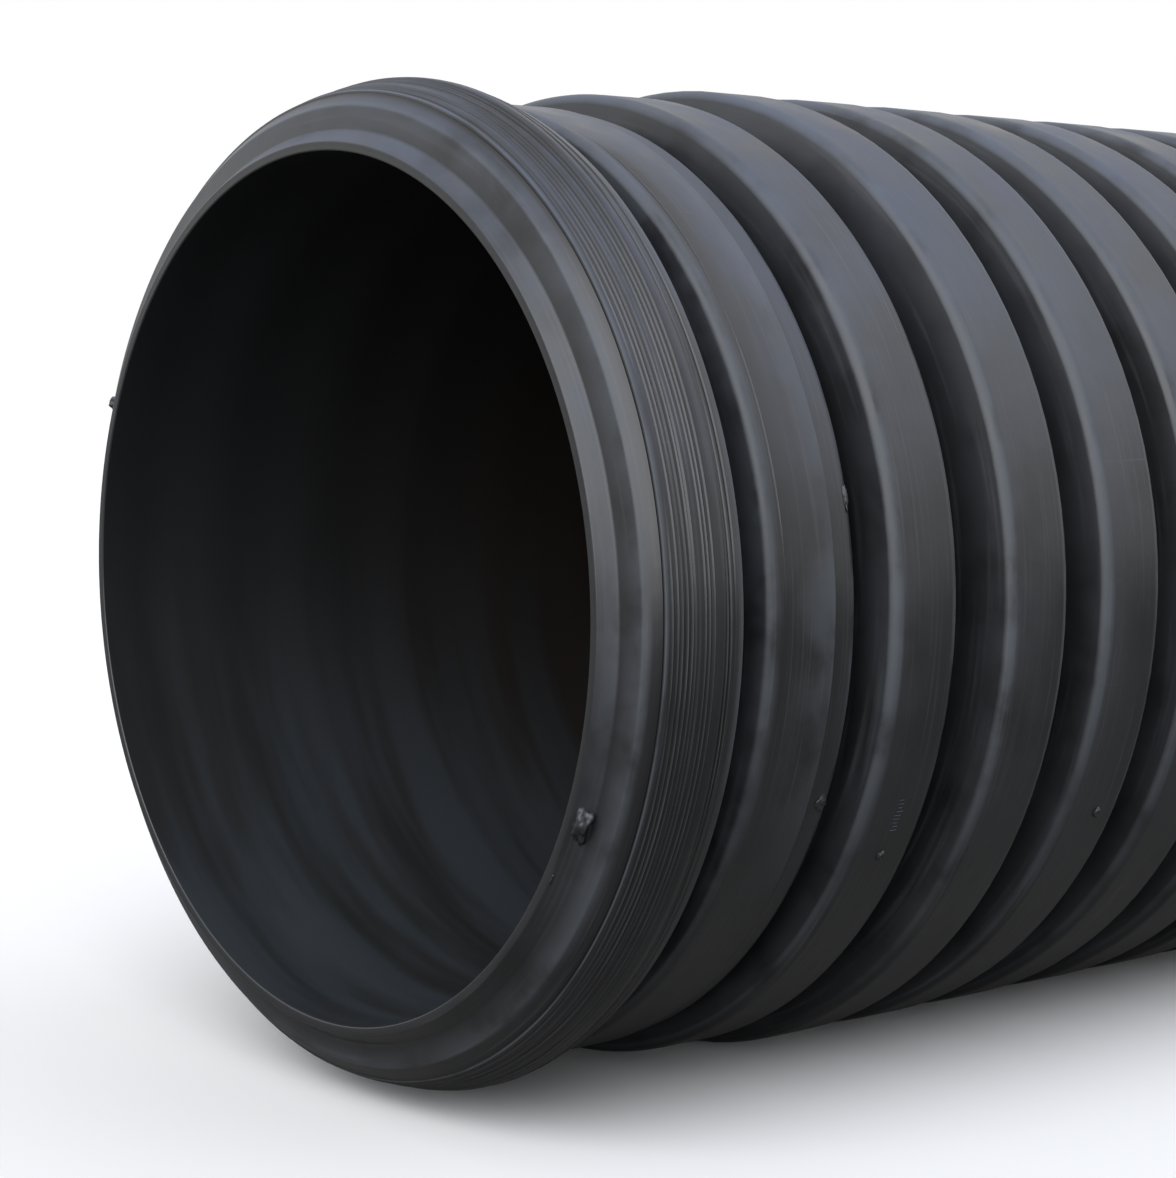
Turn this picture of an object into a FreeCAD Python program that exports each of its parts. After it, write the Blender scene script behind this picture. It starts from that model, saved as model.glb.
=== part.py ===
# A length of twin-wall corrugated polyethylene culvert pipe, lying on its side.
#
# The pipe is one extruded and moulded piece.  A smooth liner makes the bore, and
# an outer wall is blown into a travelling mould that gives it its ring-shaped
# corrugations.  Between two rings the outer wall is welded to the liner, and under
# each ring an annular space stays empty.  One end is moulded as a spigot: a thin
# lip, a bead, a crowned band and two lower rings, which a socket slides over.  The
# other end is sawn square in a valley.
#
# Frame: the pipe's axis is X, with X = 0 at the face of the lip and +X into the
# pipe.  Z is up.  All sizes are in millimetres.

import FreeCAD, Part
import Sketcher
import math
import os

# ---------------------------------------------------------------- driving sizes

DIMENSIONS = {
    # the whole pipe
    "pipe_length": 3000.0,         # as sold
    "bore_radius": 300.0,          # nominal size 600
    "liner_wall": 3.2,             # the smooth inner wall
    "outer_wall": 3.2,             # the corrugated outer wall
    "foot_rounding": 3.5,          # where a flank meets the wall in a valley

    # the lip, and the steep step up to the bead behind it
    "lip_face_wall": 6.4,          # radial height of the lip's front face
    "lip_face_rounding": 1.5,
    "lip_length": 11.0,
    "lip_height": 14.5,            # this and the heights below are above the bore
    "lip_rounding": 4.0,
    "step_length": 4.0,
    "bead_height": 31.5,
    "bead_rounding": 3.5,

    # the crowned band behind the bead
    "band_start": 24.6,
    "band_lip": 1.5,               # the small step up on to the band
    "band_front_height": 41.8,
    "crown_place": 60.0,           # where the band's two slopes meet, before rounding
    "crown_height": 53.5,
    "crown_rounding": 60.0,
    "band_end": 82.0,
    "band_back_height": 48.3,
    "band_back_rounding": 2.0,
    "band_back_run": 4.0,          # how far the band's back flank leans

    # the first and lowest ring, with a shelf behind its crest
    "first_start": 104.0,
    "first_run": 8.0,
    "first_crest_width": 56.0,
    "first_height": 40.0,
    "first_rounding": 7.0,
    "shelf_drop": 2.0,
    "shelf_width": 20.0,
    "shelf_rounding": 7.0,

    # the second ring, lower than the full ones
    "second_start": 203.0,
    "second_run": 8.0,
    "second_crest_width": 57.5,
    "second_height": 51.8,
    "second_rounding": 9.0,

    # the full rings, which repeat to the far end
    "full_start": 296.0,
    "ring_pitch": 96.0,
    "full_run": 14.0,
    "full_crest_width": 56.0,
    "full_height": 60.5,
    "full_rounding": 9.0,
    "saw_allowance": 12.0,         # the least plain wall left before the saw cut
}


def add_sheet(document):
    """Put the driving sizes in a spreadsheet, one row each, with an alias."""
    sheet = document.addObject("Spreadsheet::Sheet", "dims")
    for row, (name, value) in enumerate(DIMENSIONS.items(), start=1):
        sheet.set(f"A{row}", name)
        sheet.set(f"B{row}", str(value))
        sheet.setAlias(f"B{row}", name)
    document.recompute()
    return sheet


# ------------------------------------------------------------- sizes worked out

# A wall's outside in a valley, where the outer wall is welded to the liner.
VALLEY = "dims.bore_radius + dims.liner_wall + dims.outer_wall"
# The outside of the liner, which is the floor of every hollow.
LINER = "dims.bore_radius + dims.liner_wall"


# -------------------------------------------------------------------- sketches

def plane_of(body, role):
    """One of the body's own origin planes."""
    for feature in body.Origin.OriginFeatures:
        if feature.Role == role:
            return feature
    raise RuntimeError("no origin plane " + role)


def arc_in_corner(before, corner, after, radius):
    """The centre, the two tangent points and the turn of a rounded corner."""
    into = (corner - before).normalize()
    out = (after - corner).normalize()
    turn = math.atan2(into.x * out.y - into.y * out.x, into.dot(out))
    reach = radius * math.tan(abs(turn) / 2)
    first = corner - into * reach
    last = corner + out * reach
    side = 1 if turn > 0 else -1
    centre = first + FreeCAD.Vector(-into.y, into.x, 0) * (radius * side)
    return centre, first, last, side


def fix_point(sketch, geometry, end, axial, radial):
    """Tie a point's place along and off the pipe's axis to the sheet."""
    if axial == "0":
        sketch.addConstraint(Sketcher.Constraint("PointOnObject", geometry, end, -2))
    else:
        value = sketch.evalExpression(axial)
        across = sketch.addConstraint(Sketcher.Constraint("DistanceX", -1, 1, geometry, end, float(value)))
        sketch.setExpression(f"Constraints[{across}]", axial)
    value = sketch.evalExpression(radial)
    up = sketch.addConstraint(Sketcher.Constraint("DistanceY", -1, 1, geometry, end, float(value)))
    sketch.setExpression(f"Constraints[{up}]", radial)


def outline(body, name, corners):
    """A closed outline in the plane through the axis.

    Each corner is (place along the axis, radius, rounding): the first two are
    expressions on the sheet, and the rounding is one too, or None for a sharp one.
    """
    sketch = body.newObject("Sketcher::SketchObject", name)
    sketch.AttachmentSupport = [(plane_of(body, "XY_Plane"), "")]
    sketch.MapMode = "FlatFace"
    body.Document.recompute()

    def number(text):
        return float(sketch.evalExpression(text))

    places = [FreeCAD.Vector(number(axial), number(radial), 0) for axial, radial, _ in corners]
    count = len(corners)
    arcs = []
    for index, (_, _, rounding) in enumerate(corners):
        if rounding is None:
            arcs.append(None)
            continue
        arcs.append(arc_in_corner(places[index - 1], places[index],
                                  places[(index + 1) % count], number(rounding)))

    lines = []
    for index in range(count):
        following = (index + 1) % count
        start = places[index] if arcs[index] is None else arcs[index][2]
        stop = places[following] if arcs[following] is None else arcs[following][1]
        lines.append(sketch.addGeometry(Part.LineSegment(start, stop), False))

    for index, (axial, radial, rounding) in enumerate(corners):
        incoming = lines[index - 1]
        outgoing = lines[index]
        if arcs[index] is None:
            sketch.addConstraint(Sketcher.Constraint("Coincident", incoming, 2, outgoing, 1))
            fix_point(sketch, outgoing, 1, axial, radial)
            continue
        centre, first, last, side = arcs[index]
        begin, finish = (first, last) if side > 0 else (last, first)
        from_angle = math.atan2(begin.y - centre.y, begin.x - centre.x)
        to_angle = math.atan2(finish.y - centre.y, finish.x - centre.x)
        circle = Part.Circle(centre, FreeCAD.Vector(0, 0, 1), number(rounding))
        arc = sketch.addGeometry(Part.ArcOfCircle(circle, from_angle, to_angle), False)
        near, far = (1, 2) if side > 0 else (2, 1)
        sketch.addConstraint(Sketcher.Constraint("Tangent", incoming, 2, arc, near))
        sketch.addConstraint(Sketcher.Constraint("Tangent", arc, far, outgoing, 1))
        size = sketch.addConstraint(Sketcher.Constraint("Radius", arc, number(rounding)))
        sketch.setExpression(f"Constraints[{size}]", rounding)
        corner = sketch.addGeometry(Part.Point(places[index]), True)
        sketch.addConstraint(Sketcher.Constraint("PointOnObject", corner, 1, incoming))
        sketch.addConstraint(Sketcher.Constraint("PointOnObject", corner, 1, outgoing))
        fix_point(sketch, corner, 1, axial, radial)
    return sketch


def turn(body, kind, name, sketch):
    """A full turn of an outline about the pipe's axis, added or cut away."""
    feature = body.newObject(kind, name)
    feature.Profile = sketch
    feature.ReferenceAxis = (sketch, ["H_Axis"])
    feature.Angle = 360.0
    body.Document.recompute()
    return feature


# --------------------------------------------------------------- outlines

def above_bore(name, less=""):
    """A radius given as a height above the bore, with something taken off."""
    return f"dims.bore_radius + dims.{name}{less}"


def slope_of(run, height):
    """How far a flank moves along the axis for each millimetre that it rises."""
    return f"{run} / ({height} - dims.liner_wall - dims.outer_wall)"


def inset_of(run, height):
    """How far along the axis a hollow's corner lies from the outline's corner.

    The wall between them keeps its thickness measured square to the flank.
    """
    slope = slope_of(run, height)
    return f"dims.outer_wall * (sqrt(1 + ({slope}) ^ 2) - {slope})"


def nose_outline():
    """The spigot's lip, the steep step behind it, the bead, the cone and the band."""
    back = "dims.band_end + dims.band_back_run"
    return [
        ("0", LINER, None),
        ("0", above_bore("lip_face_wall"), "dims.lip_face_rounding"),
        ("dims.lip_length", above_bore("lip_height"), "dims.lip_rounding"),
        ("dims.lip_length + dims.step_length", above_bore("bead_height"), "dims.bead_rounding"),
        ("dims.band_start", above_bore("band_front_height", " - dims.band_lip"), None),
        ("dims.band_start", above_bore("band_front_height"), None),
        ("dims.crown_place", above_bore("crown_height"), "dims.crown_rounding"),
        ("dims.band_end", above_bore("band_back_height"), "dims.band_back_rounding"),
        (back, VALLEY, "dims.foot_rounding"),
        (f"{back} + dims.foot_rounding", VALLEY, None),
        (f"{back} + dims.foot_rounding", LINER, None),
    ]


def nose_hollow():
    """The space between the liner and the band."""
    front = "dims.lip_length + dims.step_length + dims.outer_wall"
    inset = inset_of("dims.band_back_run", "dims.band_back_height")
    back = f"dims.band_end + dims.band_back_run - {inset}"
    less = " - dims.outer_wall"
    return [
        (front, LINER, None),
        (front, above_bore("bead_height", less), None),
        ("dims.band_start", above_bore("band_front_height", " - dims.band_lip" + less), None),
        ("dims.crown_place", above_bore("crown_height", less), "dims.crown_rounding" + less),
        (f"dims.band_end - {inset}", above_bore("band_back_height", less), None),
        (back, LINER, None),
    ]


def ring_outline(ring):
    """One ring from foot to foot: two flanks and a flat crest."""
    start = f"dims.{ring}_start"
    crest = f"{start} + dims.{ring}_run"
    crest_end = f"{crest} + dims.{ring}_crest_width"
    end = f"{crest_end} + dims.{ring}_run"
    top = above_bore(f"{ring}_height")
    rounding = f"dims.{ring}_rounding"
    return [
        (f"{start} - dims.foot_rounding", LINER, None),
        (f"{start} - dims.foot_rounding", VALLEY, None),
        (start, VALLEY, "dims.foot_rounding"),
        (crest, top, rounding),
        (crest_end, top, rounding),
        (end, VALLEY, "dims.foot_rounding"),
        (f"{end} + dims.foot_rounding", VALLEY, None),
        (f"{end} + dims.foot_rounding", LINER, None),
    ]


def ring_hollow(ring):
    """The empty space under a ring, one outer wall in from its outline."""
    start = f"dims.{ring}_start"
    run = f"dims.{ring}_run"
    inset = inset_of(run, f"dims.{ring}_height")
    crest_end = f"{start} + {run} + dims.{ring}_crest_width"
    ceiling = above_bore(f"{ring}_height", " - dims.outer_wall")
    return [
        (f"{start} + {inset}", LINER, None),
        (f"{start} + {run} + {inset}", ceiling, None),
        (f"{crest_end} - {inset}", ceiling, None),
        (f"{crest_end} + {run} - {inset}", LINER, None),
    ]


def shelf_outline():
    """The lower shelf behind the first ring's crest, down to the valley."""
    crest_end = "dims.first_start + dims.first_run + dims.first_crest_width"
    shelf_end = f"{crest_end} + dims.shelf_width"
    foot = f"{shelf_end} + dims.first_run"
    top = above_bore("first_height", " - dims.shelf_drop")
    return [
        (f"{crest_end} - dims.first_rounding", LINER, None),
        (f"{crest_end} - dims.first_rounding", top, None),
        (shelf_end, top, "dims.shelf_rounding"),
        (foot, VALLEY, "dims.foot_rounding"),
        (f"{foot} + dims.foot_rounding", VALLEY, None),
        (f"{foot} + dims.foot_rounding", LINER, None),
    ]


def first_hollow():
    """The empty space under the first ring and its shelf."""
    start = "dims.first_start"
    crest_end = f"{start} + dims.first_run + dims.first_crest_width"
    shelf_end = f"{crest_end} + dims.shelf_width"
    inset = inset_of("dims.first_run", "dims.first_height")
    ceiling = above_bore("first_height", " - dims.shelf_drop - dims.outer_wall")
    return [
        (f"{start} + {inset}", LINER, None),
        (f"{start} + dims.first_run + {inset}", ceiling, None),
        (f"{shelf_end} - {inset}", ceiling, None),
        (f"{shelf_end} + dims.first_run - {inset}", LINER, None),
    ]


# --------------------------------------------------------------- the pipe

def add_plain_wall(body):
    """The liner, with the outer wall welded to it from behind the lip to the saw cut."""
    turn(body, "PartDesign::Revolution", "PlainWall", outline(body, "PlainWallOutline", [
        ("0", "dims.bore_radius", None),
        ("dims.pipe_length", "dims.bore_radius", None),
        ("dims.pipe_length", VALLEY, None),
        ("dims.lip_length", VALLEY, None),
        ("dims.lip_length", LINER, None),
        ("0", LINER, None),
    ]))


def repeat_full_ring(body, features, axis_sketch):
    """Repeat the full ring and its hollow at the pitch, as far as the length allows."""
    ring_length = "(2 * dims.full_run + dims.full_crest_width + dims.saw_allowance)"
    more = f"floor((dims.pipe_length - dims.full_start - {ring_length}) / dims.ring_pitch)"
    pattern = body.newObject("PartDesign::LinearPattern", "FullRings")
    pattern.Originals = features
    pattern.Direction = (axis_sketch, ["H_Axis"])
    pattern.setExpression("Length", f"{more} * dims.ring_pitch")
    pattern.setExpression("Occurrences", f"{more} + 1")
    body.Tip = pattern
    body.Document.recompute()


def make_pipe(document):
    """The whole pipe, as one solid."""
    body = document.addObject("PartDesign::Body", "CulvertPipe")
    body.Label = "culvert_pipe"
    body.Placement = FreeCAD.Placement()
    document.recompute()

    add = "PartDesign::Revolution"
    cut = "PartDesign::Groove"
    add_plain_wall(body)
    turn(body, add, "Nose", outline(body, "NoseOutline", nose_outline()))
    turn(body, add, "FirstRing", outline(body, "FirstRingOutline", ring_outline("first")))
    turn(body, add, "Shelf", outline(body, "ShelfOutline", shelf_outline()))
    turn(body, add, "SecondRing", outline(body, "SecondRingOutline", ring_outline("second")))
    turn(body, cut, "NoseHollow", outline(body, "NoseHollowOutline", nose_hollow()))
    turn(body, cut, "FirstHollow", outline(body, "FirstHollowOutline", first_hollow()))
    turn(body, cut, "SecondHollow", outline(body, "SecondHollowOutline", ring_hollow("second")))
    full_sketch = outline(body, "FullRingOutline", ring_outline("full"))
    full_ring = turn(body, add, "FullRing", full_sketch)
    full_hollow = turn(body, cut, "FullHollow", outline(body, "FullHollowOutline", ring_hollow("full")))
    repeat_full_ring(body, [full_ring, full_hollow], full_sketch)
    return body


# --------------------------------------------------------------- check and write

def check(document, bodies):
    """Stop unless every object recomputed and every piece is a good solid."""
    for item in document.Objects:
        if "Invalid" in item.State or "Error" in item.State:
            raise RuntimeError(f"{item.Name} failed: {item.State}")
    for body in bodies:
        if body.Shape.isNull() or not body.Shape.isValid():
            raise RuntimeError(f"{body.Label} is not a valid solid")


def write(bodies):
    """One STEP file for each piece, named by its label."""
    os.makedirs("parts", exist_ok=True)
    for body in bodies:
        body.Shape.exportStep(f"parts/{body.Label}.step")
        solid = body.Shape
        print(f"{body.Label}: {len(solid.Solids)} solid, {len(solid.Shells)} shells, "
              f"{len(solid.Faces)} faces, {solid.Volume / 1e6:.2f} litres, box {solid.BoundBox}")


document = FreeCAD.newDocument("culvert_pipe")
add_sheet(document)
pipes = [make_pipe(document)]
document.recompute()
check(document, pipes)
write(pipes)
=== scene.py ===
# %% [markdown]
# # A length of corrugated culvert pipe
#
# The pipe is one piece of black polyethylene, extruded as two walls: a smooth liner
# that makes the bore, and an outer wall that a travelling mould blows into rings.
# The near end is a spigot, with a lip, a bead, a crowned band and two lower rings.
# This lesson turns the pipe's section into one fine mesh, adds the marks that the
# mould and the yard leave, gives it weathered plastic, and lights it softly.

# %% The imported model
import math
import random

import bmesh
import bpy
from mathutils import Matrix, Vector, noise


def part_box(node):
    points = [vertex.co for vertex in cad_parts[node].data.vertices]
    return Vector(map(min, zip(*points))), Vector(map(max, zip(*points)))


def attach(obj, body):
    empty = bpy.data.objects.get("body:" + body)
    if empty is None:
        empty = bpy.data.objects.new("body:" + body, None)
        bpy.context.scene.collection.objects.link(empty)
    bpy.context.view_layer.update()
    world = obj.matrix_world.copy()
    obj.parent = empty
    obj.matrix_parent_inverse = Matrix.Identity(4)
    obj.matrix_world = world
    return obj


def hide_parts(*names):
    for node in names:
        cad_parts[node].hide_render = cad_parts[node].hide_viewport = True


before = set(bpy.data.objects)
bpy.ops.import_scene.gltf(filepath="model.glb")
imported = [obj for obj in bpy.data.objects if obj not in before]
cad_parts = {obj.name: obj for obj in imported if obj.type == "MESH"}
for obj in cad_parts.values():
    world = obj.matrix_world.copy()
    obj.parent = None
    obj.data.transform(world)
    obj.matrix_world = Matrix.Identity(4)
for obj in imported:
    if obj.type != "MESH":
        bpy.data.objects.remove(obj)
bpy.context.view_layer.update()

NODE = "culvert_pipe"
node_low, node_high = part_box(NODE)
PIPE_LENGTH = node_high.x - node_low.x
GROUND = node_low.z
print("pipe", round(PIPE_LENGTH, 3), "m long, resting at", round(GROUND, 4))

# %% [markdown]
# ## Units and small helpers
#
# A pipe's section is easiest to think of in millimetres, as on its drawing, but the
# scene is in metres, so one constant turns one into the other. Colours are written
# as sRGB hex values, and one function turns them into the linear values that shaders
# work in. One more function adds a shader node with its inputs, so that a material
# reads from top to bottom like a recipe.

# %% Units, colour and nodes
MM = 0.001


def linear(hex_colour):
    """An sRGB hex colour as linear RGBA."""
    channels = [int(hex_colour[i:i + 2], 16) / 255 for i in (1, 3, 5)]
    return [c / 12.92 if c <= 0.04045 else ((c + 0.055) / 1.055) ** 2.4 for c in channels] + [1.0]


def add_node(tree, kind, inputs=None, **settings):
    """Add a shader node; inputs maps a socket's name or number to a value or an output."""
    node = tree.nodes.new(kind)
    for name, value in settings.items():
        setattr(node, name, value)
    for socket, value in (inputs or {}).items():
        if isinstance(value, bpy.types.NodeSocket):
            tree.links.new(value, node.inputs[socket])
        else:
            node.inputs[socket].default_value = value
    return node


def empty_tree(owner):
    """The owner's node tree, switched on and cleared."""
    owner.use_nodes = True
    owner.node_tree.nodes.clear()
    return owner.node_tree


def finish_object(name, bm):
    """Turn a bmesh into an object at the origin, with its place in its mesh."""
    mesh = bpy.data.meshes.new(name)
    bm.to_mesh(mesh)
    bm.free()
    mesh.shade_smooth()
    piece = bpy.data.objects.new(name, mesh)
    bpy.context.scene.collection.objects.link(piece)
    return piece


def triangles(bm):
    return sum(len(face.verts) - 2 for face in bm.faces)


# %% [markdown]
# ## The section
#
# On a drawing, the outer wall is a row of corners, each with a place along the pipe,
# a height above the bore and a rounding. The heights and places are those of the
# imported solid. A spigot's nose comes first, then the two lower rings that a socket
# slides over, then the full rings at an even pitch.
#
# The band between the bead and its back edge is not smooth. The mould leaves fine
# lines there that run round the pipe, a few millimetres apart and uneven. They are
# corners of the section too, so that each line is a real ridge with a foot on both
# sides.

# %% The corners of the outer wall
BORE = 300.0
VALLEY = 6.4
FOOT_ROUNDING = 3.5
RING_PITCH = 96.0
FULL_START = 296.0
SAW_ALLOWANCE = 12.0
GROOVE_START = 24.2      # a fine groove runs in front of the band
BAND_START = 24.6
BAND_FRONT_HEIGHT = 41.8
CROWN = 60.0
CROWN_HEIGHT = 53.5
BAND_END = 82.0
BAND_END_HEIGHT = 48.3
FRONT_CLIMB = (CROWN_HEIGHT - BAND_FRONT_HEIGHT) / (CROWN - BAND_START)
BACK_FALL = (CROWN_HEIGHT - BAND_END_HEIGHT) / (BAND_END - CROWN)
BAND_LINES = [29.2, 32.6, 35.5, 38.1, 41.2, 43.7, 46.3, 49.6, 52.2, 55.4, 64.9, 68.4, 73.4]
LINE_FOOT = 0.8          # from a line's ridge to its foot, along the pipe
CREASE = 124.0           # a faint raised line on the first ring's crest
CREASE_FOOT = 0.9


def ring(start, run, crest, height, rounding):
    """The corners of one ring: two flanks that lean by run, and a flat crest."""
    return [
        (start, VALLEY, FOOT_ROUNDING),
        (start + run, height, rounding),
        (start + run + crest, height, rounding),
        (start + 2 * run + crest, VALLEY, FOOT_ROUNDING),
    ]


def band_height(place):
    """The band's height: a slope up to the crown and a slope down behind it."""
    if place < CROWN:
        return BAND_FRONT_HEIGHT + (place - BAND_START) * FRONT_CLIMB
    return CROWN_HEIGHT - (place - CROWN) * BACK_FALL


def lines_between(start, end):
    """Three corners for each line: its foot, its ridge and its other foot."""
    corners = []
    for place in BAND_LINES:
        if start < place < end:
            for step in (-LINE_FOOT, 0.0, LINE_FOOT):
                corners.append((place + step, band_height(place + step), 0.0))
    return corners


NOSE = [
    (0.0, 6.4, 1.5),         # the lip's front face
    (11.0, 14.5, 4.0),       # the lip
    (15.0, 31.5, 3.5),       # the bead
    (GROOVE_START, 40.0, 0.0),
    (BAND_START, 39.4, 0.0),
    (24.9, 41.9, 0.5),       # the band's small step
    *lines_between(BAND_START, CROWN - 3.0),
    (CROWN, CROWN_HEIGHT, 6.0),
    *lines_between(CROWN + 3.0, 80.0),
    (BAND_END, BAND_END_HEIGHT, 2.0),
    (86.0, VALLEY, FOOT_ROUNDING),
]
FIRST_RING = [
    (104.0, VALLEY, FOOT_ROUNDING),
    (112.0, 40.0, 7.0),
    (CREASE - CREASE_FOOT, 40.0, 0.0),
    (CREASE, 40.0, 0.0),
    (CREASE + CREASE_FOOT, 40.0, 0.0),
    (168.0, 40.0, 1.5),
    (168.6, 38.0, 1.0),      # the shelf behind the crest
    (188.0, 38.0, 7.0),
    (196.0, VALLEY, FOOT_ROUNDING),
]
SECOND_RING = ring(203.0, 8.0, 57.5, 51.8, 9.0)
FULL_RING = dict(run=14.0, crest=56.0, height=60.5, rounding=9.0)
full_ring_length = 2 * FULL_RING["run"] + FULL_RING["crest"]
full_rings = 1 + int((PIPE_LENGTH / MM - FULL_START - full_ring_length - SAW_ALLOWANCE) // RING_PITCH)
FULL_RINGS = []
for index in range(full_rings):
    FULL_RINGS += ring(FULL_START + index * RING_PITCH, **FULL_RING)
print(full_rings, "full rings")

# %% [markdown]
# ## The liner's waves
#
# The liner of a real pipe isn't a perfect cylinder. It cools over a row of hollows,
# and sinks a little towards each one, so the light inside the bore lies in soft
# bands, one for each ring. A cosine with the pitch of the rings gives that wave.

# %% The corners of the bore
LINER_WAVE = 1.8         # the most that the liner sinks, in mm
WAVE_STEP = RING_PITCH / 4
WELD_MIDDLE = FULL_START - (RING_PITCH - full_ring_length) / 2


def liner_height(place):
    """How far the liner sinks: nothing at a weld, most under the middle of a ring."""
    near_lip = min(1.0, place / 40.0)
    return LINER_WAVE * near_lip * (0.5 - 0.5 * math.cos(2 * math.pi * (place - WELD_MIDDLE) / RING_PITCH))


def bore_corners(start, end, step):
    """Corners of the bore from start to end, both included."""
    count = round(abs(end - start) / step)
    places = [start + (end - start) * index / count for index in range(count + 1)]
    return [(place, liner_height(place), 0.0) for place in places]


# %% [markdown]
# ## Turning the section into a mesh
#
# A lathe would cut this pipe from its section, and so does bmesh: the corners become
# a wire of vertices, a vertex bevel rounds each one, and one full spin about the
# axis makes the wall. The spin joins its last step to its first.
#
# The spigot is seen from close by and needs many steps round. The long run of rings
# needs fewer. So the wall is spun in two stretches, and bridged where they meet, in
# the valley behind the second ring and on the bore beneath it.

# %% Section to shell
MEETING = 283.0
BRIDGE = 4.0
SPIGOT_STEPS = 240
RING_STEPS = 112


def wire_of(corners, roundness):
    """An open wire of the corners, in the plane through the axis, with each one rounded."""
    bm = bmesh.new()
    verts = [bm.verts.new((x * MM, 0, (BORE + height) * MM)) for x, height, _ in corners]
    for a, b in zip(verts, verts[1:]):
        bm.edges.new((a, b))
    reaches = [0.0] * len(corners)
    for index in range(1, len(corners) - 1):
        here = verts[index].co
        before = here - verts[index - 1].co
        after = verts[index + 1].co - here
        reaches[index] = corners[index][2] * MM * math.tan(before.angle(after) / 2)
    for vert, reach, (_, _, rounding) in zip(verts, reaches, corners):
        if reach > 0:
            bmesh.ops.bevel(bm, geom=[vert], offset=reach, offset_type="OFFSET",
                            segments=roundness(rounding), profile=0.5, affect="VERTICES", material=-1)
    return bm


def spin_wall(bm, steps):
    """Spin the wire about the pipe's axis, once round."""
    bmesh.ops.spin(bm, geom=list(bm.verts) + list(bm.edges), cent=(0, 0, 0), axis=(1, 0, 0),
                   dvec=(0, 0, 0), angle=2 * math.pi, steps=steps,
                   use_merge=True, use_duplicate=False)
    bmesh.ops.remove_doubles(bm, verts=bm.verts, dist=1e-6)


def copy_into(target, source):
    """Add one bmesh to another."""
    passing = bpy.data.meshes.new("passing")
    source.to_mesh(passing)
    source.free()
    target.from_mesh(passing)
    bpy.data.meshes.remove(passing)


def open_loop(bm, place, outside):
    """The open edges that lie at one place along the pipe, on the outer wall or the bore."""
    found = []
    for edge in bm.edges:
        if not edge.is_boundary:
            continue
        middle = (edge.verts[0].co + edge.verts[1].co) / 2
        is_outside = math.hypot(middle.y, middle.z) > (BORE + VALLEY / 2) * MM
        if abs(middle.x - place * MM) < 0.5 * MM and is_outside == outside:
            found.append(edge)
    return found


length_mm = PIPE_LENGTH / MM
spigot_section = bore_corners(MEETING, 0.0, 12.0)
spigot_section[-1] = (0.0, 0.0, 1.2)
spigot_section += NOSE + FIRST_RING + SECOND_RING + [(MEETING, VALLEY, 0.0)]
run_section = [(MEETING + BRIDGE, VALLEY, 0.0)] + FULL_RINGS + [(length_mm, VALLEY, 0.6)]
bore_back = bore_corners(length_mm, MEETING + BRIDGE, WAVE_STEP)
bore_back[0] = (length_mm, bore_back[0][1], 0.6)
run_section += bore_back

shell = wire_of(spigot_section, lambda rounding: 4 if rounding < 8 else 5)
spin_wall(shell, SPIGOT_STEPS)
print("spigot:", triangles(shell), "triangles")
run = wire_of(run_section, lambda rounding: 2 if rounding < 6 else 3)
spin_wall(run, RING_STEPS)
print("run of rings:", triangles(run), "triangles")
copy_into(shell, run)
for outside in (True, False):
    both = open_loop(shell, MEETING, outside) + open_loop(shell, MEETING + BRIDGE, outside)
    bmesh.ops.bridge_loops(shell, edges=both)
bmesh.ops.recalc_face_normals(shell, faces=shell.faces)
open_edges = sum(1 for edge in shell.edges if not edge.is_manifold)
print("shell:", len(shell.verts), "vertices,", triangles(shell), "triangles,", open_edges, "open edges")
print("shell holds", round(shell.calc_volume() * 1000, 1), "litres, with the rings filled")

# %% [markdown]
# ## Where the pipe is rubbed, and where light and shade are painted
#
# A pipe is rolled, stacked and pushed into sockets, and its edges go grey. That grey
# on the lip, the bead, the band's edges and the ring shoulders is also a painted
# highlight, and inner corners and grooves get a painted shade. Both depend only on
# where a place lies in the section, so a short list of corners is enough. The material
# reads the result as an attribute of the mesh.

# %% Worn corners, painted highlights and painted shade
WORN_AND_HIGHLIT_CORNERS = [
    # place, height, reach: corners that other things rub against, greyed as wear and as a painted highlight
    (6.0, 10.5, 9.0),
    (17.5, 33.5, 7.0),
    (25.0, 42.0, 2.0),
    (81.5, 48.5, 3.5),
    (113.0, 38.5, 7.0),
    (168.0, 40.0, 2.5),
    (187.0, 36.0, 6.0),
    (212.5, 50.0, 8.0),
    (267.0, 50.5, 6.0),
]
PAINTED_SHADE_CORNERS = [
    # place, height, reach: inner corners and grooves that get a painted shade
    (12.5, 17.0, 3.0),
    (24.3, 39.7, 1.2),
    (87.0, 8.0, 8.0),
    (169.0, 38.0, 2.2),
    (196.0, 7.0, 8.0),
]


def fade(value, start, end):
    """0 before start, 1 after end, smooth between."""
    part = min(1.0, max(0.0, (value - start) / (end - start)))
    return part * part * (3 - 2 * part)


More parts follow.
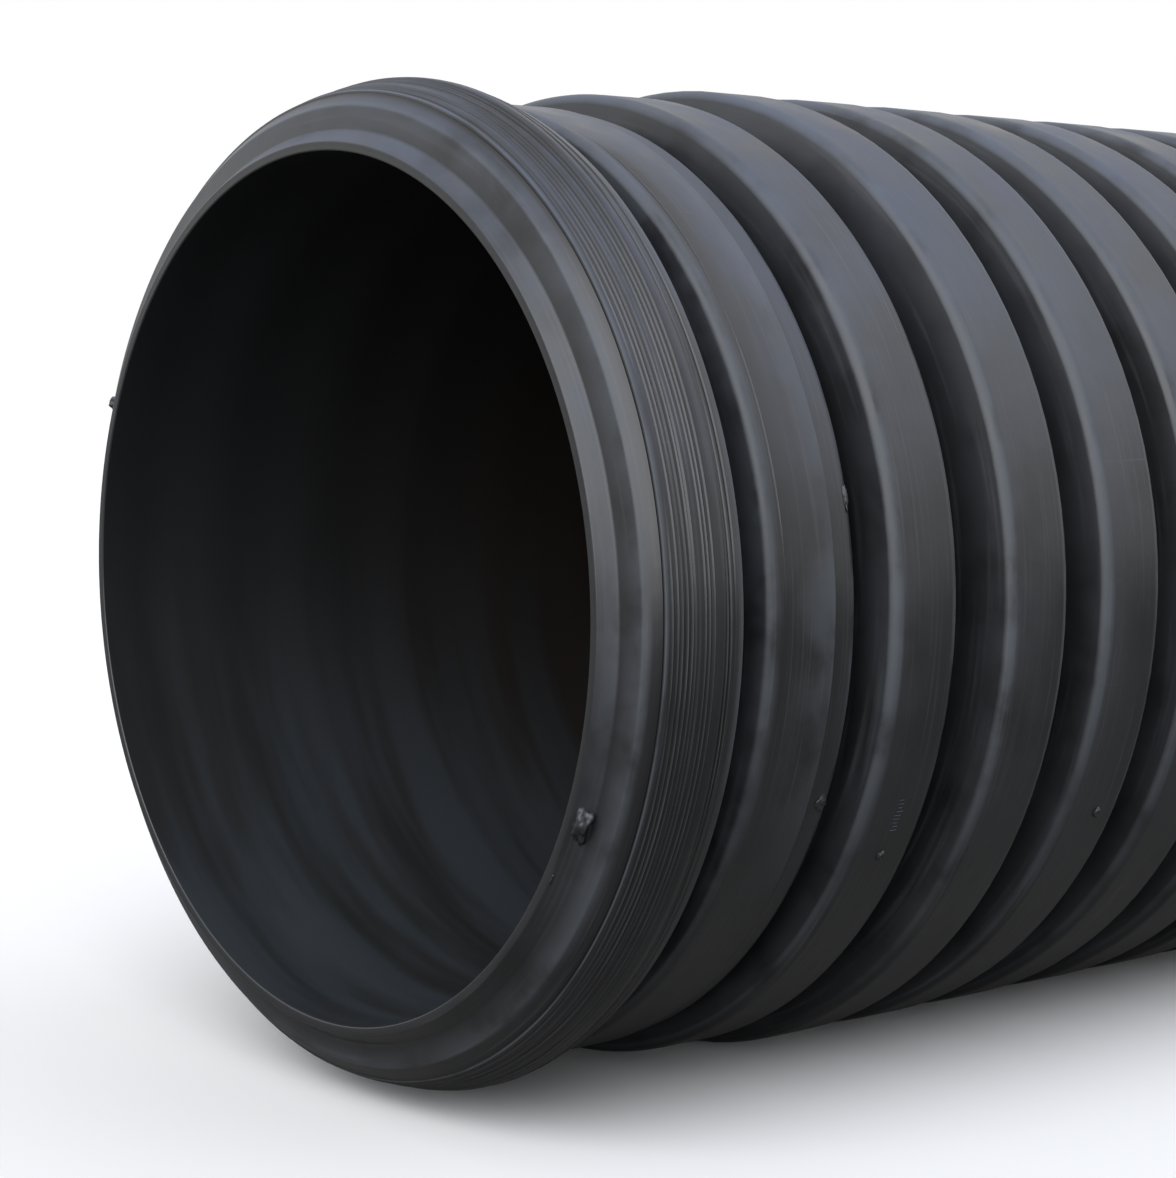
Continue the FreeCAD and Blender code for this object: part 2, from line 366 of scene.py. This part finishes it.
def wear_and_painted_light_at(place, height):
    """How much the section is greyed here by rubbing and a painted highlight, from 0 to 1, or darkened by
    painted shade, from 0 to -1.
    """
    if place > FULL_START:
        along = (place - FULL_START) % RING_PITCH
        corners = [(FULL_RING["run"] + 1, FULL_RING["height"] - 1, 8.0),
                   (FULL_RING["run"] + FULL_RING["crest"] - 1, FULL_RING["height"] - 1, 6.0)]
    else:
        along = place
        corners = WORN_AND_HIGHLIT_CORNERS
    wear_light_and_shade = 0.0
    for x, y, reach in corners:
        wear_light_and_shade = max(wear_light_and_shade, 1 - fade(math.hypot(along - x, height - y), reach * 0.35, reach))
    if wear_light_and_shade > 0:
        return wear_light_and_shade
    # painted shade in the inner corners and grooves
    shade_depth = 0.0
    for x, y, reach in PAINTED_SHADE_CORNERS:
        shade_depth = max(shade_depth, 1 - fade(math.hypot(place - x, height - y), reach * 0.5, reach))
    return -shade_depth


# %% [markdown]
# ## What the mould leaves
#
# Few surfaces of a blown pipe are exact. The lines on the band rise and fade as they
# run round, and wander by part of a millimetre. The wall between them is drawn by
# vacuum, so it is a little lower here and there, and its highlights waver. Every
# vertex is moved in or out from the axis by smooth noise, which is a soft and even
# way to do this. Nothing moves out past the full rings, so the pipe keeps its size.

# %% Lines, crease and uneven wall
LINE_RISE = 0.9          # the most that a line stands up, in mm
LINE_GROOVE = 0.3        # how far its feet lie below the band
LINE_WANDER = 0.5        # how far it strays along the pipe
CREASE_RISE = 0.55
CREASE_MIDDLE = 146.0    # the crease shows on one side only, about this angle
CREASE_HALF = 34.0
SINK = 0.5               # the most that the outer wall sinks, in mm
FINE_SINK = 0.16
BROAD_SINKS = 11         # how many hollows to a metre
FINE_SINKS = 38
RING_TOPS = 30.0         # what stands higher above the bore than this is on a ring or the band
NUB_ANGLE = 204.0        # where the mould's halves part; 0 is +Y and 90 is up


def angle_of(point):
    return math.degrees(math.atan2(point.z, point.y)) % 360


def line_rise(number, point):
    """How far one line on the band stands up at this point, in mm."""
    strength = 0.6 + 1.1 * noise.noise(Vector((number * 3.7, point.y * 5, point.z * 5)))
    return LINE_RISE * min(1.0, max(0.0, strength))


def line_wander(number, point):
    return LINE_WANDER * noise.noise(Vector((number * 1.9 + 40, point.y * 4, point.z * 4)))


def crease_rise(point):
    away = abs(angle_of(point) - CREASE_MIDDLE)
    return CREASE_RISE * (1 - fade(away, CREASE_HALF * 0.7, CREASE_HALF))


def sink(point):
    """How far the outer wall sinks at this point, in mm."""
    broad = 0.5 + 0.5 * noise.noise(point * BROAD_SINKS)
    fine = 0.5 + 0.5 * noise.noise(point * FINE_SINKS + Vector((5, 5, 5)))
    return SINK * broad + FINE_SINK * fine


# a line's number gives it its own noise; a vertex is known by its place in the section
line_numbers = {round(place, 1): number for number, place in enumerate(BAND_LINES)}
line_feet = {round(place + side * LINE_FOOT, 1): number
             for number, place in enumerate(BAND_LINES) for side in (-1, 1)}
crease_places = {CREASE - CREASE_FOOT, CREASE, CREASE + CREASE_FOOT}
crisp_places = {GROOVE_START, BAND_START, *crease_places, *line_numbers, *line_feet}


def place_of(vert):
    return round(vert.co.x / MM, 1)


def height_of(vert):
    return math.hypot(vert.co.y, vert.co.z) / MM - BORE


crisp = 0
for edge in shell.edges:
    first, second = edge.verts
    runs_round = place_of(first) == place_of(second)
    if runs_round and place_of(first) in crisp_places and height_of(first) > RING_TOPS:
        edge.smooth = False
        crisp += 1
print(crisp, "crisp edges on the lines, the crease and the step")

wear_and_painted_light = shell.verts.layers.float.new("wear_and_painted_light")
for vert in shell.verts:
    place = place_of(vert)
    outward = Vector((0, vert.co.y, vert.co.z)).normalized()
    height = height_of(vert)
    if height < VALLEY / 2:
        continue
    here = vert.co.copy()
    # rubbing and a painted highlight on the worn corners, painted shade in the inner ones
    vert[wear_and_painted_light] = wear_and_painted_light_at(here.x / MM, height)
    move = -sink(here) * fade(height, VALLEY, VALLEY + 6)
    if height > RING_TOPS and place in line_numbers:
        rise = line_rise(line_numbers[place], here)
        # a line's ridge is greyed as rubbed and as a painted highlight
        vert[wear_and_painted_light] = rise / LINE_RISE
        move += rise
    if height > RING_TOPS and place in line_feet:
        rise = line_rise(line_feet[place], here) / LINE_RISE
        # a line's feet get a painted shade
        vert[wear_and_painted_light] = -rise
        move -= rise * LINE_GROOVE
    if height > RING_TOPS and place == CREASE:
        move += crease_rise(here)
        # the crease's ridge is greyed as rubbed and as a painted highlight along it
        vert[wear_and_painted_light] = crease_rise(here) / CREASE_RISE
    if height > RING_TOPS and abs(abs(place - CREASE) - CREASE_FOOT) < 0.05:
        # the crease's feet get a painted shade
        vert[wear_and_painted_light] = -crease_rise(here) / CREASE_RISE
    if height > RING_TOPS and (place in line_numbers or place in line_feet):
        number = line_numbers.get(place, line_feet.get(place))
        vert.co.x += line_wander(number, here) * MM
    vert.co += outward * move * MM

pipe = finish_object("culvert_pipe_skin", shell)
weighted = pipe.modifiers.new("FaceWeightedNormals", "WEIGHTED_NORMAL")
weighted.weight = 60
weighted.keep_sharp = True

# %% [markdown]
# ## Nubs at the parting line
#
# The two halves of a travelling mould part on a line along the pipe. Where the mould
# has a vent, a little plastic is pressed out there, and it is torn or cut off later.
# Each such nub is a small ball, flattened, roughened by noise, with a hollow where
# it was torn, and sunk into the wall by half its height.

# %% Torn nubs
NUB_WEAR = 0.3
NUBS = [
    # name, place, height above the bore, angle, half length, half width, rise, hollow
    ("lip_nub_near", 8.6, 10.6, NUB_ANGLE, 8.4, 12.0, 7.0, 0.55),
    ("lip_nub_far", 5.5, 10.8, NUB_ANGLE - 180, 5.5, 5.5, 6.0, 0.4),
    ("first_ring_nub", 181.0, 36.6, NUB_ANGLE - 2, 4.5, 6.5, 3.0, 0.2),
    ("second_ring_nub", 240.0, 51.6, NUB_ANGLE + 4.5, 2.8, 3.6, 1.9, 0.3),
    ("fourth_ring_nub", 440.0, 60.0, NUB_ANGLE + 2, 3.0, 4.0, 2.0, 0.3),
    ("shelf_nub", 184.5, 37.4, 167.8, 1.5, 8.0, 1.5, 0.0),
    ("rim_nub", 2.2, 6.6, 212.0, 2.0, 6.0, 1.6, 0.2),
]


def wall_frame(place, height, angle):
    """A matrix that puts X along the pipe, Y round it and Z outward, at a point of the wall."""
    turn = math.radians(angle)
    outward = Vector((0, math.cos(turn), math.sin(turn)))
    along = Vector((1, 0, 0))
    across = outward.cross(along)
    matrix = Matrix((along, across, outward)).transposed().to_4x4()
    matrix.translation = Vector((place * MM, 0, 0)) + outward * (BORE + height) * MM
    return matrix


def torn_nub(place, height, angle, half_length, half_width, rise, hollow):
    bm = bmesh.new()
    bmesh.ops.create_icosphere(bm, subdivisions=4, radius=1.0)
    shift = Vector((place, angle, 0.0))
    for vert in bm.verts:
        rough = 1 + 0.35 * noise.noise(vert.co * 1.6 + shift) + 0.16 * noise.noise(vert.co * 5.0 + shift)
        off_centre = math.hypot(vert.co.x - 0.15, vert.co.y + 0.1)
        pit = hollow * (1 - fade(off_centre, 0.15, 0.7)) if vert.co.z > 0 else 0.0
        vert.co = vert.co * rough
        vert.co.z -= pit
    bmesh.ops.scale(bm, verts=bm.verts, vec=(half_length * MM, half_width * MM, rise * MM))
    bmesh.ops.transform(bm, matrix=wall_frame(place, height, angle), verts=bm.verts)
    wear_and_painted_light = bm.verts.layers.float.new("wear_and_painted_light")
    for vert in bm.verts:
        vert.co.x = max(vert.co.x, 0.0)   # nothing stands in front of the mouth
        vert[wear_and_painted_light] = NUB_WEAR
    bmesh.ops.recalc_face_normals(bm, faces=bm.faces)
    return bm


nubs = []
for name, *sizes in NUBS:
    nubs.append(finish_object(name, torn_nub(*sizes)))
print(len(nubs), "nubs")

# %% [markdown]
# A worn mark beside the nub on the second ring is a short row of fine ribs, pressed
# into the crest. Each rib is a low bevelled bar.

# %% Fine ribs on the second ring
RIB_PLACE = 242.0
RIB_ANGLES = [201.5 + 0.47 * index for index in range(9)]
RIB_LENGTH = 6.5
RIB_WIDTH = 0.8
RIB_RISE = 0.5
RIB_EDGE = 0.18


def ribs():
    bm = bmesh.new()
    draw = random.Random(4)
    for angle in RIB_ANGLES:
        made = bmesh.ops.create_cube(bm, size=1.0)["verts"]
        length = RIB_LENGTH * draw.uniform(0.55, 1.0)
        bmesh.ops.scale(bm, verts=made, vec=(length * MM, RIB_WIDTH * MM, RIB_RISE * MM))
        edges = list({edge for vert in made for edge in vert.link_edges})
        place = RIB_PLACE + draw.uniform(-0.8, 0.8)
        bmesh.ops.transform(bm, matrix=wall_frame(place, 51.7, angle), verts=made)
        bmesh.ops.bevel(bm, geom=edges, offset=RIB_EDGE * MM, segments=2, profile=0.5,
                        affect="EDGES", material=-1)
    wear_and_painted_light = bm.verts.layers.float.new("wear_and_painted_light")
    for vert in bm.verts:
        vert[wear_and_painted_light] = 1.0
    return bm


rib_marks = finish_object("second_ring_ribs", ribs())

# %% [markdown]
# ## Weathered polyethylene
#
# High-density polyethylene is waxy, and carbon black makes it black all the way
# through. Blow moulding leaves a satin surface. The yard then dulls it: dust settles
# on what faces up, rubbing greys the edges, and drag marks run round the pipe and
# along it. Some of these greys also carry painted light and painted shade.
#
# The colour starts from two blacks mixed by a cloudy noise. Streaks that run round
# come from noise on coordinates stretched along the pipe, so that it changes fast
# along X and slowly round. Dust is a mask from the surface normal. It is pale and
# bluish, so it is also a painted sky reflection on what faces up. Wear comes from the
# mesh's own attribute and shows only on the upper side, so its grey is partly a
# painted highlight. The same attribute paints shade, a near black, into inner
# corners and the feet of the fine lines. Inside the bore, dust lies low and in bands.
# It is bluish, so it is partly a painted sheen. The liner is browner further in.

# %% The material
STREAK_PITCH = 1.6 * MM      # the finest drag lines, drawn as coarse as they show
MOTTLE = 90 * MM             # cloudy patches of the satin surface
GRAIN = 2.5 * MM             # fine unevenness of the moulded wall
CARBON_BLACK = "#151617"
FADED_BLACK = "#1F2022"
STREAK_GREY = "#47494C"
# grey of rubbed edges; on the upper side it also stands in for a highlight
DRAG_GREY = "#5A5E64"
WORN_AND_HIGHLIGHT_GREY = "#565B62"
# near black for painted shade in creases and grooves
PAINTED_SHADE_BLACK = "#0A0B0D"
LINER_NEAR_MOUTH = "#292A2B"
LINER_DEEP_INSIDE = "#352C26"    # brown silt, further in
# bluish grey on the lower bore: dust and a painted sheen
BORE_DUST_AND_SHEEN = "#3F464D"
DUST_AND_SKY_SHEEN = "#525C72"             # pale bluish dust on top, also a painted sky reflection


def noise_on(tree, place, along, around, detail, roughness=0.55):
    """Noise whose patches are this long along the pipe and this long round it, in metres."""
    mapped = add_node(tree, "ShaderNodeMapping", {
        "Vector": place, "Scale": (1 / along, 1 / around, 1 / around)})
    return add_node(tree, "ShaderNodeTexNoise", {
        "Vector": mapped.outputs[0], "Scale": 1.0, "Detail": detail,
        "Roughness": roughness}).outputs["Fac"]


def between(tree, value, low, high):
    """A mask that rises smoothly from 0 at low to 1 at high."""
    return add_node(tree, "ShaderNodeMapRange", {
        "Value": value, "From Min": low, "From Max": high},
        interpolation_type="SMOOTHSTEP").outputs["Result"]


def times(tree, first, second):
    return add_node(tree, "ShaderNodeMath", {0: first, 1: second}, operation="MULTIPLY").outputs[0]


def mixed(tree, factor, first, second):
    return add_node(tree, "ShaderNodeMix", {"Factor": factor, "A": first, "B": second},
                    data_type="RGBA").outputs[2]


def weathered_polyethylene():
    material = bpy.data.materials.new("blow_moulded_black_polyethylene")
    tree = empty_tree(material)
    out = add_node(tree, "ShaderNodeOutputMaterial")
    place = add_node(tree, "ShaderNodeTexCoord").outputs["Object"]
    normal = add_node(tree, "ShaderNodeNewGeometry").outputs["Normal"]
    facing = add_node(tree, "ShaderNodeSeparateXYZ", {"Vector": normal}).outputs["Z"]
    along = add_node(tree, "ShaderNodeSeparateXYZ", {"Vector": place}).outputs["X"]
    off_axis = add_node(tree, "ShaderNodeVectorMath", {
        0: place, 1: (0, 1, 1)}, operation="MULTIPLY").outputs[0]
    radius = add_node(tree, "ShaderNodeVectorMath", {0: off_axis}, operation="LENGTH").outputs["Value"]
    outside = between(tree, radius, (BORE + 2) * MM, (BORE + 5) * MM)
    wear_light_and_shade = add_node(tree, "ShaderNodeAttribute", attribute_name="wear_and_painted_light").outputs["Fac"]

    mottle = noise_on(tree, place, MOTTLE, MOTTLE, 5.0)
    streaks = noise_on(tree, place, STREAK_PITCH, 160 * MM, 3.0)
    drags = noise_on(tree, place, 120 * MM, 1.5 * MM, 2.0)
    patches = noise_on(tree, place, 40 * MM, 60 * MM, 4.0)
    bands = noise_on(tree, place, 50 * MM, 450 * MM, 3.0)

    colour = mixed(tree, between(tree, mottle, 0.3, 0.7), linear(CARBON_BLACK), linear(FADED_BLACK))
    streak_mask = times(tree, between(tree, streaks, 0.52, 0.78), outside)
    colour = mixed(tree, times(tree, streak_mask, 0.45), colour, linear(STREAK_GREY))
    drag_mask = times(tree, between(tree, drags, 0.66, 0.8), between(tree, patches, 0.5, 0.7))
    colour = mixed(tree, times(tree, drag_mask, times(tree, outside, 0.4)), colour, linear(DRAG_GREY))
    # rubbing greys only the upper side, so this grey is partly a painted highlight
    lit_side = between(tree, facing, -0.75, 0.0)
    wear_and_highlight = times(tree, times(tree, wear_light_and_shade, lit_side), between(tree, patches, 0.25, 0.6))
    colour = mixed(tree, times(tree, wear_and_highlight, 0.6), colour, linear(WORN_AND_HIGHLIGHT_GREY))
    # painted shade, near black, in inner corners and the feet of the lines
    painted_shade = between(tree, times(tree, wear_light_and_shade, -1.0), 0.1, 1.0)
    colour = mixed(tree, times(tree, painted_shade, 0.8), colour, linear(PAINTED_SHADE_BLACK))
    # dust on what faces up, pale and bluish, is also a painted sky reflection
    up = times(tree, between(tree, facing, 0.05, 1.0), outside)
    dust_and_sky_sheen = times(tree, up, between(tree, mottle, 0.2, 0.75))
    inside = add_node(tree, "ShaderNodeMath", {0: 1.0, 1: outside}, operation="SUBTRACT").outputs[0]
    liner = mixed(tree, between(tree, along, 0.1, 0.7), linear(LINER_NEAR_MOUTH), linear(LINER_DEEP_INSIDE))
    colour = mixed(tree, times(tree, inside, 0.8), colour, liner)
    # low in the bore, in bands: dust and a painted bluish sheen
    low_down = times(tree, between(tree, facing, -0.2, 1.0), inside)
    bore_dust_and_sheen = times(tree, low_down, between(tree, bands, 0.4, 0.62))
    colour = mixed(tree, times(tree, bore_dust_and_sheen, 0.5), colour, linear(BORE_DUST_AND_SHEEN))
    # the bluish dust and painted sky reflection, kept out of the painted shade
    beyond_painted_shade = add_node(tree, "ShaderNodeMath", {0: 1.0, 1: painted_shade}, operation="SUBTRACT").outputs[0]
    colour = mixed(tree, times(tree, times(tree, dust_and_sky_sheen, beyond_painted_shade), 0.55), colour, linear(DUST_AND_SKY_SHEEN))

    dull = add_node(tree, "ShaderNodeMath", {0: dust_and_sky_sheen, 1: wear_and_highlight}, operation="MAXIMUM").outputs[0]
    roughness = add_node(tree, "ShaderNodeMapRange", {
        "Value": dull, "From Min": 0.0, "From Max": 1.0, "To Min": 0.3, "To Max": 0.58}).outputs["Result"]

    grain = noise_on(tree, place, GRAIN, GRAIN, 3.0)
    uneven = noise_on(tree, place, 22 * MM, 30 * MM, 2.0)
    bump = add_node(tree, "ShaderNodeBump", {"Height": uneven, "Strength": 0.25, "Distance": 1.2 * MM})
    bump = add_node(tree, "ShaderNodeBump", {
        "Height": streaks, "Strength": 0.22, "Distance": 0.25 * MM, "Normal": bump.outputs[0]})
    bump = add_node(tree, "ShaderNodeBump", {
        "Height": grain, "Strength": 0.2, "Distance": 0.12 * MM, "Normal": bump.outputs[0]})
    shader = add_node(tree, "ShaderNodeBsdfPrincipled", {
        "Base Color": colour, "Roughness": roughness, "IOR": 1.5, "Normal": bump.outputs[0]})
    tree.links.new(shader.outputs[0], out.inputs["Surface"])
    return material


plastic = weathered_polyethylene()
for piece in [pipe, *nubs, rib_marks]:
    piece.data.materials.append(plastic)
    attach(piece, "root")
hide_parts(NODE)

# %% [markdown]
# ## Floor, light and camera
#
# The floor is pale and matt, large enough that its edge is never seen. Black plastic
# shows little colour of its own, so most of what the eye reads on it is reflected
# light. Two broad, soft lights stand high, one behind the camera and one over the
# far side. The sky around them is even, and the ground gives little back.

# %% Floor
floor_builder = bmesh.new()
bmesh.ops.create_grid(floor_builder, x_segments=1, y_segments=1, size=60.0)
bmesh.ops.translate(floor_builder, verts=floor_builder.verts, vec=(0, 0, GROUND))
floor = finish_object("floor", floor_builder)


def sees_backdrop(tree, reflected=1.0):
    """1 for rays that should see the white backdrop, and a share of it in reflections."""
    path = add_node(tree, "ShaderNodeLightPath")
    glossy = add_node(tree, "ShaderNodeMath", {
        0: path.outputs["Is Glossy Ray"], 1: reflected}, operation="MULTIPLY")
    seen = add_node(tree, "ShaderNodeMath", {
        0: path.outputs["Is Camera Ray"], 1: glossy.outputs[0]}, operation="MAXIMUM")
    return add_node(tree, "ShaderNodeMath", {
        0: seen.outputs[0], 1: path.outputs["Is Transmission Ray"]}, operation="MAXIMUM").outputs[0]


FLOOR_REFLECTED = 0.12   # black plastic over earth reflects a ground darker than white


def pale_floor():
    material = bpy.data.materials.new("pale_matt_floor")
    tree = empty_tree(material)
    out = add_node(tree, "ShaderNodeOutputMaterial")
    colour = mixed(tree, sees_backdrop(tree, FLOOR_REFLECTED), linear("#6C6A66"), linear("#FFFFFF"))
    diffuse = add_node(tree, "ShaderNodeBsdfDiffuse", {"Color": colour})
    tree.links.new(diffuse.outputs[0], out.inputs["Surface"])
    return material


floor.data.materials.append(pale_floor())

# %% Sky
scene = bpy.context.scene
scene.view_settings.view_transform = "Standard"
SKY_STRENGTH = 0.5

world = bpy.data.worlds.new("soft_sky")
scene.world = world
tree = empty_tree(world)
out = add_node(tree, "ShaderNodeOutputWorld")
sky = add_node(tree, "ShaderNodeBackground", {"Color": linear("#FAFCFF"), "Strength": SKY_STRENGTH})
white = add_node(tree, "ShaderNodeBackground", {"Color": linear("#FFFFFF"), "Strength": 1.0})
both = add_node(tree, "ShaderNodeMixShader", {
    0: sees_backdrop(tree), 1: sky.outputs[0], 2: white.outputs[0]})
tree.links.new(both.outputs[0], out.inputs["Surface"])


# %% Lamps
def soft_sun(name, heading, height, spread, radiance, colour):
    """A far, round, soft light. Heading is from +X towards +Y and spread is its width, in degrees."""
    data = bpy.data.lights.new(name, "SUN")
    solid_angle = 2 * math.pi * (1 - math.cos(math.radians(spread / 2)))
    data.energy = radiance * solid_angle
    data.angle = math.radians(spread)
    data.color = linear(colour)[:3]
    lamp = bpy.data.objects.new(name, data)
    scene.collection.objects.link(lamp)
    flat = math.cos(math.radians(height))
    towards = Vector((math.cos(math.radians(heading)) * flat, math.sin(math.radians(heading)) * flat,
                      math.sin(math.radians(height))))
    lamp.rotation_euler = towards.to_track_quat("Z", "Y").to_euler()
    print(name, "irradiance on the floor", round(data.energy * towards.z / math.pi, 3))


soft_sun("light_behind_camera", heading=-148, height=32, spread=66, radiance=2.9, colour="#FBFCFF")
soft_sun("light_over_far_side", heading=-42, height=48, spread=60, radiance=0.75, colour="#E6ECFF")

# %% Camera
# it stands low beside the mouth and looks along the pipe
LENS = 81.4
CAMERA_PLACE = Vector((-1.0058, -1.5392, 0.1514))
HEADING = 0.88963
DIP = 0.08171
camera_data = bpy.data.cameras.new("camera")
camera_data.lens = LENS
camera = bpy.data.objects.new("camera", camera_data)
scene.collection.objects.link(camera)
camera.location = CAMERA_PLACE
sight = Vector((math.cos(HEADING) * math.cos(DIP), math.sin(HEADING) * math.cos(DIP), -math.sin(DIP)))
camera.rotation_euler = sight.to_track_quat("-Z", "Y").to_euler()
scene.camera = camera
